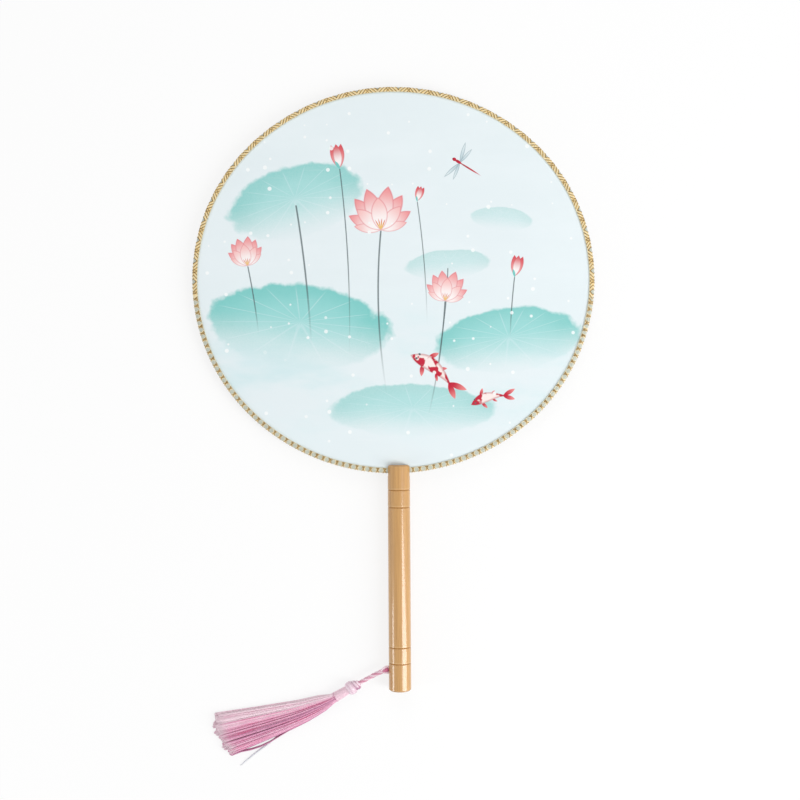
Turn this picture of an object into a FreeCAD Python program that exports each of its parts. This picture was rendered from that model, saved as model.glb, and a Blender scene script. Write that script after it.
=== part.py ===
import FreeCAD, Part
import math
import os
import Sketcher

os.makedirs("parts", exist_ok=True)
doc = FreeCAD.newDocument("RoundFan")
V = FreeCAD.Vector

# Sizes in millimetres, degrees and counts. The fan lies on its back: X across the face,
# Y from the handle's end to the top of the face, Z up from the table.
SIZES = [
    ("face_width", 265.5),
    ("face_height", 255),
    ("head_offset", 2.8),
    ("wire_diameter", 2.4),
    ("silk_thickness", 0.2),
    ("silk_lap", 0.3),
    ("glue_gap", 0.05),
    ("braid_thickness", 0.4),
    ("braid_width", 3.4),
    ("handle_length", 149),
    ("handle_diameter", 14.8),
    ("end_chamfer", 0.9),
    ("rim_cover", 5.6),
    ("slot_clearance", 0.1),
    ("slot_floor_gap", 0.3),
    ("tail_length", 30),
    ("tail_gap", 0.1),
    ("bend_radius", 3.5),
    ("bore_clearance", 0.15),
    ("bore_end_gap", 2),
    ("groove_width", 0.9),
    ("groove_depth", 0.4),
    ("low_groove", 18.2),
    ("low_groove_pitch", 10.6),
    ("high_groove", 16.6),
    ("high_groove_pitch", 11.4),
    ("hole_height", 13.5),
    ("hole_depth", 10),
    ("hole_clearance", 0.15),
    ("hole_end_gap", 0.3),
    ("cord_diameter", 2.6),
    ("hitch_diameter", 4.8),
    ("hitch_gap", 0.2),
    ("turn_gap", 0.3),
    ("cord_span", 24.4),
    ("cord_angle", 28.7),
    ("cord_rise", 1.2),
    ("head_diameter", 9.2),
    ("neck_angle", 30),
    ("neck_reach", 12.4),
    ("neck_head_width", 5.2),
    ("neck_skirt_width", 6.6),
    ("band_thickness", 0.5),
    ("band_gap", 0.05),
    ("lower_locks", 6),
    ("upper_locks", 5),
    ("skirt_angle", 18),
    ("skirt_length", 81),
    ("skirt_tip_width", 31.4),
    ("skirt_depth", 5.6),
    ("skirt_tip_depth", 4.8),
    ("skirt_bow", 1.8),
    ("lock_gap", 0.25),
    ("floor_gap", 0.1),
    ("thread_diameter", 0.8),
    ("thread_start", 45),
    ("thread_length", 30),
]
sheet = doc.addObject("Spreadsheet::Sheet", "Sizes")
for row, (name, amount) in enumerate(SIZES, 1):
    sheet.set(f"A{row}", name)
    sheet.set(f"B{row}", str(amount))
    sheet.setAlias(f"B{row}", name)
doc.recompute()


def value(formula):
    return float(sheet.evalExpression(formula))


def vector(formulas):
    return V(*[value(f) for f in formulas])


# Places that several pieces share, as formulas of the sheet's cells
FACE_PLANE = "Sizes.handle_diameter / 2"
LENGTH = "(Sizes.face_height + Sizes.handle_length - Sizes.rim_cover)"
END_Y = f"(-{LENGTH} / 2)"
HEAD_Y = f"({LENGTH} / 2 - Sizes.face_height / 2)"
FOLD_IN = "(Sizes.wire_diameter / 2 + Sizes.silk_thickness + 2 * Sizes.glue_gap)"
FOLD_OUT = f"({FOLD_IN} + Sizes.braid_thickness)"
HOOP_X = f"(Sizes.face_width / 2 - {FOLD_OUT})"
HOOP_Y = f"(Sizes.face_height / 2 - {FOLD_OUT})"
TAIL_X = "(Sizes.wire_diameter / 2 + Sizes.tail_gap / 2)"
SLOT_DEPTH = f"(Sizes.rim_cover + max(Sizes.bend_radius - {FOLD_OUT}; 0) + Sizes.slot_floor_gap)"
PIVOT = (
    "(Sizes.head_offset - Sizes.handle_diameter / 2 - Sizes.hitch_gap - Sizes.hitch_diameter / 2)",
    f"({END_Y} + Sizes.hole_height)",
    FACE_PLANE,
)
KNOT = (
    f"({PIVOT[0]} - Sizes.cord_span * cos(Sizes.cord_angle))",
    f"({PIVOT[1]} - Sizes.cord_span * sin(Sizes.cord_angle))",
    "(Sizes.head_diameter / 2)",
)


def place(obj, base, axis="vector(0; 0; 1)", angle="0"):
    x, y, z = base
    obj.setExpression("Placement", f"placement(vector({x}; {y}; {z}); rotation({axis}; {angle}))")


def primitive(kind, name, **sizes):
    obj = doc.addObject(f"Part::{kind}", name)
    for prop, formula in sizes.items():
        obj.setExpression(prop, formula)
    return obj


def combine(kind, name, base, tool):
    obj = doc.addObject(f"Part::{kind}", name)
    obj.Base = base
    obj.Tool = tool
    return obj


def sketch(body, name, role, lift=None):
    s = body.newObject("Sketcher::SketchObject", name)
    s.AttachmentSupport = [(next(f for f in body.Origin.OriginFeatures if f.Role == role), "")]
    s.MapMode = "FlatFace"
    if lift:
        s.setExpression("AttachmentOffset.Base.z", lift)
    return s


def bind(s, kind, label, formula, *where):
    index = s.addConstraint(Sketcher.Constraint(kind, *where, value(formula)))
    s.renameConstraint(index, label)
    s.setExpression(f"Constraints.{label}", formula)


def circle(s, radius, height=None):
    centre = V(0, value(height) if height else 0, 0)
    s.addGeometry(Part.Circle(centre, V(0, 0, 1), value(radius)))
    if height:
        s.addConstraint(Sketcher.Constraint("PointOnObject", 0, 3, -2))
        bind(s, "DistanceY", "height", height, -1, 1, 0, 3)
    else:
        s.addConstraint(Sketcher.Constraint("Coincident", 0, 3, -1, 1))
    bind(s, "Radius", "radius", radius, 0)


def outline(s, points):
    corners = [V(value(x), value(y), 0) for x, y in points]
    count = len(corners)
    for i, corner in enumerate(corners):
        s.addGeometry(Part.LineSegment(corner, corners[(i + 1) % count]))
    for i in range(count):
        s.addConstraint(Sketcher.Constraint("Coincident", i, 2, (i + 1) % count, 1))
    for i, (x, y) in enumerate(points):
        bind(s, "DistanceX", f"x{i}", x, -1, 1, i, 1)
        bind(s, "DistanceY", f"y{i}", y, -1, 1, i, 1)


def feature(body, kind, name, profile, **sizes):
    f = body.newObject(f"PartDesign::{kind}", name)
    f.Profile = profile
    for prop, formula in sizes.items():
        f.setExpression(prop, formula)
    return f


# The handle is a turned stick, drawn upright from its lower end and laid along Y
handle = doc.addObject("PartDesign::Body", "handle")
place(handle, ("Sizes.head_offset", END_Y, FACE_PLANE), "vector(1; 0; 0)", "-90")
stick_sketch = sketch(handle, "stick_section", "XY_Plane")
circle(stick_sketch, "Sizes.handle_diameter / 2")
stick = feature(handle, "Pad", "stick", stick_sketch, Length="Sizes.handle_length")
doc.recompute()
ends = []
for i, edge in enumerate(stick.Shape.Edges, 1):
    if edge.isClosed():
        ends.append(f"Edge{i}")
chamfer = handle.newObject("PartDesign::Chamfer", "stick_ends")
chamfer.Base = (stick, ends)
chamfer.setExpression("Size", "Sizes.end_chamfer")
doc.recompute()

TOP = "Sizes.handle_length"
GROOVES = [
    "Sizes.low_groove",
    "(Sizes.low_groove + Sizes.low_groove_pitch)",
    f"({TOP} - Sizes.high_groove)",
    f"({TOP} - Sizes.high_groove - Sizes.high_groove_pitch)",
]
for i, height in enumerate(GROOVES, 1):
    cut = sketch(handle, f"groove_section_{i}", "XZ_Plane")
    wide = "(Sizes.handle_diameter / 2 + Sizes.groove_depth)"
    deep = "(Sizes.handle_diameter / 2 - Sizes.groove_depth)"
    outline(cut, [
        (deep, height),
        (wide, f"({height} - Sizes.groove_width)"),
        (wide, f"({height} + Sizes.groove_width)"),
    ])
    groove = feature(handle, "Groove", f"groove_{i}", cut)
    groove.ReferenceAxis = (cut, ["V_Axis"])
    groove.Angle = 360
    doc.recompute()

half_slot = f"({FOLD_OUT} + Sizes.slot_clearance)"
slot_sketch = sketch(handle, "slot_section", "YZ_Plane")
outline(slot_sketch, [
    (f"(-{half_slot})", f"({TOP} - {SLOT_DEPTH})"),
    (half_slot, f"({TOP} - {SLOT_DEPTH})"),
    (half_slot, f"({TOP} + Sizes.rim_cover)"),
    (f"(-{half_slot})", f"({TOP} + Sizes.rim_cover)"),
])
slot = feature(handle, "Pocket", "slot", slot_sketch)
slot.SideType = "Symmetric"
slot.Type = "ThroughAll"
doc.recompute()

BORE_R = "(Sizes.wire_diameter + Sizes.tail_gap / 2 + Sizes.bore_clearance)"
bore_sketch = sketch(handle, "bore_section", "XY_Plane", f"{TOP} - {SLOT_DEPTH}")
circle(bore_sketch, BORE_R)
bore = feature(handle, "Pocket", "bore", bore_sketch,
               Length="Sizes.tail_length + Sizes.bore_end_gap")
doc.recompute()

hole_sketch = sketch(handle, "hole_section", "YZ_Plane",
                     "Sizes.hole_depth - Sizes.handle_diameter / 2")
circle(hole_sketch, "Sizes.cord_diameter / 2 + Sizes.hole_clearance", "Sizes.hole_height")
hole = feature(handle, "Pocket", "hole", hole_sketch)
hole.Type = "ThroughAll"
doc.recompute()


# The rim is a four-centre oval: two side arcs and two end arcs that meet in tangent. Rings inside or
# outside the hoop's line keep its centres.
LONG = f"sqrt({HOOP_X} ^ 2 + {HOOP_Y} ^ 2)"
SIDE_R = f"(({LONG} ^ 2 - ({HOOP_X} - {HOOP_Y}) * {LONG}) / (2 * {HOOP_X}))"
END_R = f"(({LONG} ^ 2 + ({HOOP_X} - {HOOP_Y}) * {LONG}) / (2 * {HOOP_Y}))"
side_r, end_r = value(SIDE_R), value(END_R)
head_middle = V(0, value(HEAD_Y), value(FACE_PLANE))
side_middle = V(value(HOOP_X) - side_r, 0, 0)
end_middle = V(0, value(HOOP_Y) - end_r, 0)
join = math.pi / 4
if abs(end_r - side_r) > 1e-9:
    join = math.atan2(abs(end_middle.y), abs(side_middle.x))


def arc(middle, radius, start, end):
    ring = Part.Circle(head_middle + middle, V(0, 0, 1), radius)
    return Part.ArcOfCircle(ring, start, end)


def oval(lap):
    half = math.pi
    return [
        arc(side_middle, side_r + lap, -join, join),
        arc(end_middle, end_r + lap, join, half - join),
        arc(-side_middle, side_r + lap, half - join, half + join),
        arc(-end_middle, end_r + lap, half + join, 2 * half - join),
    ]


# The hoop's wire comes up the right tail, goes round the oval and down the left tail
def tail_bend(side):
    bend = value("Sizes.bend_radius")
    x_line = value("Sizes.head_offset") + side * value(TAIL_X)
    x = x_line + side * bend
    low_middle = head_middle - end_middle
    centre = V(x, low_middle.y - math.sqrt((end_r + bend) ** 2 - x ** 2), low_middle.z)
    out = (centre - low_middle).normalize()
    start = V(x_line, centre.y, centre.z)
    halfway = centre + (V(-side, 0, 0) - out).normalize() * bend
    return math.atan2(out.y, out.x), centre - out * bend, halfway, start


slot_floor = value(f"{END_Y} + {TOP} - {SLOT_DEPTH}")
tail_y = slot_floor - value("Sizes.tail_length")
left_turn, left_point, left_halfway, left_start = tail_bend(-1)
right_turn, right_point, right_halfway, right_start = tail_bend(1)
left_tail = V(left_start.x, tail_y, left_start.z)
right_tail = V(right_start.x, tail_y, right_start.z)
low_right = arc(-end_middle, end_r, right_turn, -join)
low_left = arc(-end_middle, end_r, math.pi + join, left_turn + 2 * math.pi)
hoop_path = doc.addObject("Part::Feature", "hoop_path")
hoop_path.Shape = Part.Wire([edge.toShape() for edge in [
    Part.LineSegment(right_tail, right_start),
    Part.Arc(right_start, right_halfway, right_point),
    low_right,
    *oval(0)[:3],
    low_left,
    Part.Arc(left_point, left_halfway, left_start),
    Part.LineSegment(left_start, left_tail),
]])
wire_section = primitive("Circle", "wire_section", Radius="Sizes.wire_diameter / 2")
wire_section.Placement = FreeCAD.Placement(right_tail, FreeCAD.Rotation(V(1, 0, 0), -90))
hoop_wire = doc.addObject("Part::Sweep", "hoop_wire")
hoop_wire.Sections = [wire_section]
hoop_wire.Spine = (hoop_path, [f"Edge{i}" for i in range(1, len(hoop_path.Shape.Edges) + 1)])
hoop_wire.Solid = True
hoop_wire.Frenet = False

# Two silks, stretched over the hoop and glued to its front and its back
SILK_Z = "(Sizes.wire_diameter / 2 + Sizes.glue_gap)"


def silk(name, z):
    edge = doc.addObject("Part::Feature", f"{name}_edge")
    edge.Shape = Part.Wire([piece.toShape() for piece in oval(value("Sizes.silk_lap"))])
    place(edge, ("0", "0", f"{z} - {FACE_PLANE}"))
    cloth = primitive("Extrusion", name, LengthFwd="Sizes.silk_thickness")
    cloth.Base = edge
    cloth.DirMode = "Custom"
    cloth.Dir = V(0, 0, 1)
    cloth.Solid = True
    return cloth


front_silk = silk("front_silk", f"({FACE_PLANE} + {SILK_Z})")
back_silk = silk("back_silk", f"({FACE_PLANE} - {SILK_Z} - Sizes.silk_thickness)")

# The braid is a tape folded over the rim. Its two ends stop in the handle's slot, beside the tails.
braid_section = doc.addObject("Sketcher::SketchObject", "braid_section")
place(braid_section, (HOOP_X, HEAD_Y, FACE_PLANE), "vector(1; 0; 0)", "90")
LEG = f"(Sizes.braid_width - {FOLD_OUT})"
inner, outer, leg = value(FOLD_IN), value(FOLD_OUT), value(LEG)
for radius in (outer, inner):
    fold = Part.Circle(V(0, 0, 0), V(0, 0, 1), radius)
    braid_section.addGeometry(Part.ArcOfCircle(fold, -math.pi / 2, math.pi / 2))
corners = [
    [V(0, outer, 0), V(-leg, outer, 0), V(-leg, inner, 0), V(0, inner, 0)],
    [V(0, -inner, 0), V(-leg, -inner, 0), V(-leg, -outer, 0), V(0, -outer, 0)],
]
for row in corners:
    for start, end in zip(row, row[1:]):
        braid_section.addGeometry(Part.LineSegment(start, end))
for a, a_end, b, b_end in [(0, 2, 2, 1), (2, 2, 3, 1), (3, 2, 4, 1), (4, 2, 1, 2),
                           (1, 1, 5, 1), (5, 2, 6, 1), (6, 2, 7, 1), (7, 2, 0, 1),
                           (0, 3, -1, 1), (1, 3, -1, 1)]:
    braid_section.addConstraint(Sketcher.Constraint("Coincident", a, a_end, b, b_end))
for fold in (0, 1):
    for end in (1, 2):
        braid_section.addConstraint(Sketcher.Constraint("PointOnObject", fold, end, -2))
for line in (2, 4, 5, 7):
    braid_section.addConstraint(Sketcher.Constraint("Horizontal", line))
for line in (3, 6):
    braid_section.addConstraint(Sketcher.Constraint("Vertical", line))
bind(braid_section, "Radius", "fold_out", FOLD_OUT, 0)
bind(braid_section, "Radius", "fold_in", FOLD_IN, 1)
bind(braid_section, "DistanceX", "front_leg", LEG, 2, 2, -1, 1)
bind(braid_section, "DistanceX", "back_leg", LEG, 6, 1, -1, 1)
doc.recompute()

# Each arc of the oval turns the section about its own centre. The lowest arc is left open for the
# wire's tails, and its two stretches stop short of them.
END_GAP = f"({TAIL_X} + Sizes.bend_radius + Sizes.slot_clearance)"
gap_left = value(f"Sizes.head_offset - {END_GAP}")
gap_right = value(f"Sizes.head_offset + {END_GAP}")
section = Part.Face(braid_section.Shape)


def stretch(middle, radius, start, end):
    axis_at = head_middle + middle
    at = section.copy()
    at.translate(V(middle.x + radius - value(HOOP_X), middle.y, 0))
    at.rotate(axis_at, V(0, 0, 1), math.degrees(start))
    return at.revolve(axis_at, V(0, 0, 1), math.degrees(end - start))


turn = math.pi
stretches = [
    stretch(-end_middle, end_r, 1.5 * turn + math.asin(gap_right / end_r), 2 * turn - join),
    stretch(side_middle, side_r, -join, join),
    stretch(end_middle, end_r, join, turn - join),
    stretch(-side_middle, side_r, turn - join, turn + join),
    stretch(-end_middle, end_r, turn + join, 1.5 * turn + math.asin(gap_left / end_r)),
]
rim_braid = doc.addObject("Part::Feature", "rim_braid")
rim_braid.Shape = stretches[0].multiFuse(stretches[1:])

# The cord's end sits in the cross hole. Its hitch stands on the flank, and the tassel swings from it.
cord_end = primitive("Cylinder", "cord_end", Radius="Sizes.cord_diameter / 2",
                     Height="Sizes.hitch_diameter / 2 + Sizes.hitch_gap"
                            " + Sizes.hole_depth - Sizes.hole_end_gap")
place(cord_end, PIVOT, "vector(0; 1; 0)", "90")
hitch = primitive("Sphere", "hitch", Radius="Sizes.hitch_diameter / 2")
place(hitch, PIVOT, angle="180")
cord_anchor = combine("Fuse", "cord_anchor", hitch, cord_end)

# The free cord, straight runs with one arc between them
NORMAL_UP = V(0, 0, 1)


def tube(points, diameter):
    edges = []
    at = points[0]
    length = 0
    for before, corner, after in zip(points, points[1:], points[2:]):
        back, on = before - corner, after - corner
        turn = math.pi - back.getAngle(on)
        cut_back = 0.45 * min(back.Length, on.Length)
        radius = cut_back / math.tan(turn / 2)
        start = corner + back.normalize() * cut_back
        end = corner + on.normalize() * cut_back
        inward = (back + on).normalize()
        middle = corner + inward * (radius / math.cos(turn / 2) - radius)
        edges.append(Part.LineSegment(at, start).toShape())
        edges.append(Part.Arc(start, middle, end).toShape())
        print(f"bend radius {radius:.1f} mm, {radius / diameter:.1f} diameters")
        at = end
    edges.append(Part.LineSegment(at, points[-1]).toShape())
    path = Part.Wire(edges)
    for edge in path.Edges:
        length += edge.Length
    ring = Part.Wire(Part.Circle(points[0], points[1] - points[0], diameter / 2).toShape())
    solid = path.makePipeShell([ring], True, False)
    share = solid.Volume / (math.pi * diameter ** 2 / 4 * length)
    print(f"tube length {length:.2f} mm, volume {share:.4f} of section times length")
    return solid


pivot, knot = vector(PIVOT), vector(KNOT)
middle = (pivot + knot) / 2
across_cord = NORMAL_UP.cross(knot - pivot).normalize()
bulge = middle - across_cord * value("Sizes.cord_rise")
turn_gap = value("Sizes.turn_gap")
leave = pivot + (bulge - pivot).normalize() * (value("Sizes.hitch_diameter") / 2 + turn_gap)
arrive = knot + (bulge - knot).normalize() * (value("Sizes.head_diameter") / 2 + turn_gap)
tassel_cord = doc.addObject("Part::Feature", "tassel_cord")
tassel_cord.Shape = tube([leave, bulge, arrive], value("Sizes.cord_diameter"))

# The tassel's head, and the band that binds its threads below it
tassel_head = primitive("Sphere", "tassel_head", Radius="Sizes.head_diameter / 2")
place(tassel_head, KNOT)
NECK_AXIS = "vector(sin(Sizes.neck_angle); -cos(Sizes.neck_angle); 0)"
WALL = "Sizes.band_thickness"
CORE = f"({WALL} + Sizes.band_gap)"


def neck(name, inset):
    cone = primitive("Cone", name, Radius1=f"Sizes.neck_head_width / 2 - {inset}",
                     Radius2=f"Sizes.neck_skirt_width / 2 - {inset}",
                     Height="Sizes.neck_reach")
    place(cone, KNOT, NECK_AXIS, "90")
    return cone


def head_room(name):
    ball = primitive("Sphere", name, Radius="Sizes.head_diameter / 2 + Sizes.band_gap")
    place(ball, KNOT)
    return ball


sleeve = combine("Cut", "band_sleeve", neck("band_outside", "0"), neck("band_bore", WALL))
neck_band = combine("Cut", "neck_band", sleeve, head_room("band_seat"))
thread_bundle = combine("Cut", "thread_bundle", neck("bundle", CORE), head_room("bundle_seat"))

# The skirt's locks fan out from the band in two layers. A share runs from 0 at the band to 1 at
# the tips. The rings of one share lie in one plane, which turns from the band's end to the skirt's.
STATIONS = [0, 0.25, 0.5, 0.75, 1]


def heading(share):
    eased = min(1, share / STATIONS[2])
    turn = value("Sizes.neck_angle") * (1 - eased) + value("Sizes.skirt_angle") * eased
    turn = math.radians(turn)
    return V(-math.cos(turn), -math.sin(turn), 0), V(math.sin(turn), -math.cos(turn), 0)


neck_way = heading(0)[0]
skirt_way, skirt_side = heading(1)
skirt_root = knot + neck_way * (value("Sizes.neck_reach") + value("Sizes.lock_gap"))


def half_width(share):
    narrow = value("Sizes.neck_skirt_width") / 2
    return narrow + (value("Sizes.skirt_tip_width") / 2 - narrow) * share ** 0.8


def middle_line(share):
    bow = value("Sizes.skirt_bow") * math.sin(math.pi * min(share, 1) ** 0.7)
    return skirt_root + skirt_way * value("Sizes.skirt_length") * share + skirt_side * bow


def skirt_floor(share):
    high = knot.z - value("Sizes.skirt_depth") / 2
    low = value("Sizes.floor_gap")
    return low + (high - low) * max(0, 1 - share / 0.4) ** 2


def skirt_depth(share):
    root, tip = value("Sizes.skirt_depth"), value("Sizes.skirt_tip_depth")
    return root + (tip - root) * share


def lens(at, side_way, wide, high):
    side_bulge = min(0.3 * wide, 0.5 * high)
    top_bulge = min(0.3 * high, 0.5 * wide)
    x, z = wide - side_bulge, high - top_bulge
    points = [(x, -z), (wide, 0), (x, z), (0, high), (-x, z), (-wide, 0), (-x, -z), (0, -high)]
    ring = [at + side_way * px + NORMAL_UP * pz for px, pz in points]
    ring.append(ring[0])
    return Part.Wire([Part.Arc(*ring[i:i + 3]).toShape() for i in (0, 2, 4, 6)])


def lock(layer, index, count, reach, spread):
    gap = value("Sizes.lock_gap")
    rings = []
    for share in STATIONS:
        width = half_width(share) * spread
        tall = skirt_depth(share) / 2
        z = skirt_floor(share) + tall * (layer + 0.5)
        wide, high = width / count - gap / 2, tall / 2 - gap / 2
        side = (2 * index + 1) / count - 1
        side_way = heading(share)[1]
        at = middle_line(share) + side_way * width * side
        at += skirt_way * value("Sizes.skirt_length") * share ** 2 * (reach - 1)
        rings.append(lens(V(at.x, at.y, z), side_way, wide, high))
    return Part.makeLoft(rings, True, False)


LOWER_REACH = [1.0, 1.027, 1.03, 1.006, 1.006, 0.978]
UPPER_REACH = [0.99, 1.005, 1.0, 0.985, 0.965]
locks = []
for layer, label, reaches, spread in ((0, "lower", LOWER_REACH, 1), (1, "upper", UPPER_REACH, 0.9)):
    count = int(value(f"Sizes.{label}_locks"))
    for index in range(count):
        strand = doc.addObject("Part::Feature", f"{label}_lock_{index + 1}")
        reach = reaches[index % len(reaches)]
        strand.Shape = lock(layer, index, count, reach, spread)
        locks.append(strand)

# One thread strays from the skirt's lower side and lies on the table
thread = value("Sizes.thread_diameter")
share = value("Sizes.thread_start / Sizes.skirt_length")
clear = half_width(share) + value("Sizes.lock_gap") + thread / 2
thread_root = middle_line(share) + skirt_side * clear
thread_root.z = thread / 2
stray = value("Sizes.thread_length")
thread_points = [thread_root]
for along, out in ((0.3, 0.08), (0.64, 0.2), (0.94, 0.33)):
    thread_points.append(thread_root + skirt_way * stray * along + skirt_side * stray * out)
loose_thread = doc.addObject("Part::Feature", "loose_thread")
loose_thread.Shape = tube(thread_points, thread)

nodes = [handle, hoop_wire, front_silk, back_silk, rim_braid, cord_anchor, tassel_cord,
         tassel_head, neck_band, thread_bundle, *locks, loose_thread]
doc.recompute()
for obj in doc.Objects:
    if "Invalid" in obj.State or "Error" in obj.State:
        raise RuntimeError(f"{obj.Label} failed: {obj.State}")
for node in nodes:
    node.Label = node.Name
    if node.Shape.isNull() or not node.Shape.isValid() or not node.Shape.Solids:
        raise RuntimeError(f"{node.Label} has no sound solid")
    box = node.Shape.BoundBox
    print(f"{node.Label}: {len(node.Shape.Solids)} solid, {node.Shape.Volume:.2f} mm3,"
          f" z {box.ZMin:.2f} to {box.ZMax:.2f}")
    Part.export([node], f"parts/{node.Label}.step")
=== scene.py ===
import itertools
import math
import bpy
import numpy as np
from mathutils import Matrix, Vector


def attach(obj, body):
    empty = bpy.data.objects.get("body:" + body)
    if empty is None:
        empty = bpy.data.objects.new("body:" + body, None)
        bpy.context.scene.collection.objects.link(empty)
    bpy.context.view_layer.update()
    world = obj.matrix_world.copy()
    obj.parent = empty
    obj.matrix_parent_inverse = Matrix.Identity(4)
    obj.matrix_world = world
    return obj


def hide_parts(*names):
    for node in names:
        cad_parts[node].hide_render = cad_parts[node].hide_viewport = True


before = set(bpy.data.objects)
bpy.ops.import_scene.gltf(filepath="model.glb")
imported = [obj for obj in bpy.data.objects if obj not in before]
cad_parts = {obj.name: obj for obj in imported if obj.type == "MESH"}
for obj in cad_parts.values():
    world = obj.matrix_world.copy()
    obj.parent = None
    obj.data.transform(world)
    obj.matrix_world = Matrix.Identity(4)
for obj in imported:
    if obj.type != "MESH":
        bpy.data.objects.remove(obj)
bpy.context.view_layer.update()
scene = bpy.context.scene
scene.view_settings.view_transform = "Standard"
mm = 0.001
chance = np.random.default_rng(23)
print("frame loaded,", len(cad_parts), "nodes")


def srgb(red, green, blue):  # a colour as a picture program gives it, 0 to 255
    def linear(part):
        part /= 255
        return part / 12.92 if part <= 0.04045 else ((part + 0.055) / 1.055) ** 2.4
    return (linear(red), linear(green), linear(blue), 1)


class Flow:  # one socket of a material, written in sums like a number
    def __init__(self, tree, socket=None):
        self.tree, self.socket = tree, socket

    def add(self, kind, settings=None, sockets=None, out=0):
        node = self.tree.nodes.new("ShaderNode" + kind)
        for key, value in (settings or {}).items():
            if key == "stops":
                while len(node.color_ramp.elements) < len(value):
                    node.color_ramp.elements.new(0.5)
                for stop, (place, colour) in zip(node.color_ramp.elements, value):
                    stop.position, stop.color = place, colour
            else:
                setattr(node, key, value)
        for key, value in (sockets or {}).items():
            if isinstance(value, Flow):
                self.tree.links.new(value.socket, node.inputs[key])
            else:
                node.inputs[key].default_value = value
        return Flow(self.tree, node.outputs[out])

    def maths(self, operation, *values):
        return self.add("Math", {"operation": operation}, dict(enumerate(values)))

    def vector(self, operation, *values, out=0):
        return self.add("VectorMath", {"operation": operation}, dict(enumerate(values)), out)

    def __add__(self, other):
        return self.maths("ADD", self, other)

    def __sub__(self, other):
        return self.maths("SUBTRACT", self, other)

    def __rsub__(self, other):
        return self.maths("SUBTRACT", other, self)

    def __mul__(self, other):
        return self.maths("MULTIPLY", self, other)

    def __truediv__(self, other):
        return self.maths("DIVIDE", self, other)

    def __abs__(self):
        return self.maths("ABSOLUTE", self)

    __radd__, __rmul__ = __add__, __mul__

    def smooth(self, start, end, low=0.0, high=1.0):  # eases from low to high between the two
        return self.add("MapRange", {"interpolation_type": "SMOOTHSTEP", "clamp": False},
                        {0: self, 1: start, 2: end, 3: low, 4: high})

    def blend(self, below, above):  # this value as the share of the second colour
        return self.add("Mix", {"data_type": "RGBA"}, {0: self, 6: below, 7: above}, out=2)

    def xyz(self):
        split = self.add("SeparateXYZ", None, {0: self})
        return [Flow(self.tree, socket) for socket in split.socket.node.outputs]

    def noise(self, where, scale, detail, roughness=0.5):
        return self.add("TexNoise", None,
                        {"Vector": where, "Scale": scale, "Detail": detail, "Roughness": roughness})

    def attribute(self, name):
        return self.add("Attribute", {"attribute_name": name}, out=2)

    def place(self, scale=(1000, 1000, 1000)):  # the object's own coordinates, in millimetres
        return self.add("Mapping", None, {0: self.add("TexCoord", out=3), 3: scale})

    def bump(self, height, distance, strength):
        return self.add("Bump", None, {"Strength": strength, "Distance": distance, "Height": height})


def surface(name, fixed):  # a material, its start, and a way to feed its shader
    material = bpy.data.materials.new(name)
    material.use_nodes = True
    tree = material.node_tree
    shader = tree.nodes["Principled BSDF"]
    for key, value in fixed.items():
        shader.inputs[key].default_value = value

    def feed(**flows):
        for key, flow in flows.items():
            tree.links.new(flow.socket, shader.inputs[key.replace("_", " ")])
    return material, Flow(tree), feed


def put(name, data):
    made = bpy.data.objects.new(name, data)
    scene.collection.objects.link(made)
    return made


def piece(name, points, faces, finish, body, nodes, slot, **values):  # points in millimetres
    mesh = bpy.data.meshes.new(name)
    mesh.from_pydata((np.asarray(points) * mm).tolist(), [], faces)
    mesh.polygons.foreach_set("use_smooth", [True] * len(mesh.polygons))
    for key, amounts in values.items():
        mesh.attributes.new(key, "FLOAT", "POINT").data.foreach_set("value", np.ravel(amounts))
    mesh.materials.append(finish)
    made = put(name, mesh)
    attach(made, body)
    if nodes:
        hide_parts(*nodes)
    return made


def thicken(made, thickness):
    thick = made.modifiers.new("thick", "SOLIDIFY")
    thick.thickness, thick.offset = thickness * mm, -1


def unit(vectors):
    return vectors / np.linalg.norm(vectors, axis=-1, keepdims=True)


def runOf(line):  # how far along a line each of its points lies
    return np.concatenate([[0], np.cumsum(np.linalg.norm(np.diff(line, axis=0), axis=1))])


def fullTurn(count):
    return np.linspace(0, 2 * math.pi, count, endpoint=False)


def tubes(lines, radius, sides, up=(0, 0, 1), closed=False, profile=None):
    lines = np.asarray(lines, float)  # tube, point, xyz
    count, points = lines.shape[:2]
    along = np.roll(lines, -1, 1) - np.roll(lines, 1, 1) if closed else np.gradient(lines, axis=1)
    along = unit(along)
    across = unit(np.cross(along, np.broadcast_to(up, lines.shape)))
    over = np.cross(across, along)
    angle = np.arange(sides) * 2 * np.pi / sides
    radius = np.broadcast_to(radius, (count, points))[:, :, None, None]
    if profile is not None:  # flutes: share of the radius for each point and angle
        radius = radius * profile(angle)[..., None]
    ring = across[:, :, None] * np.cos(angle)[:, None] + over[:, :, None] * np.sin(angle)[:, None]
    verts = (lines[:, :, None] + ring * radius).reshape(-1, 3)
    first = np.arange(count)[:, None, None] * points * sides
    step = np.arange(points if closed else points - 1)[:, None]
    around = np.arange(sides)
    here = first + step * sides
    there = first + (step + 1) % points * sides
    quads = np.stack([here + around, there + around, there + (around + 1) % sides,
                      here + (around + 1) % sides], -1).reshape(-1, 4)
    faces = quads.tolist()
    if not closed:
        faces += (first[:, 0] + around).tolist()
        faces += (first[:, 0] + (points - 1) * sides + around[::-1]).tolist()
    return verts, faces


def spread(amounts, points, sides):  # one amount for each tube, given to all its vertices
    return np.repeat(np.asarray(amounts), points * sides)


# The camera looks straight down on the table
camera = {"over": (3.9, -7.48), "height": 832.4, "roll": -0.35, "lens": 56.2, "clip": (0.01, 20)}
lens = bpy.data.cameras.new("camera")
lens.lens = camera["lens"]
lens.clip_start, lens.clip_end = camera["clip"]
eye = put("camera", lens)
eye.location = Vector((*camera["over"], camera["height"])) * mm
eye.rotation_euler = (0, 0, math.radians(camera["roll"]))
scene.camera = eye


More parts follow.
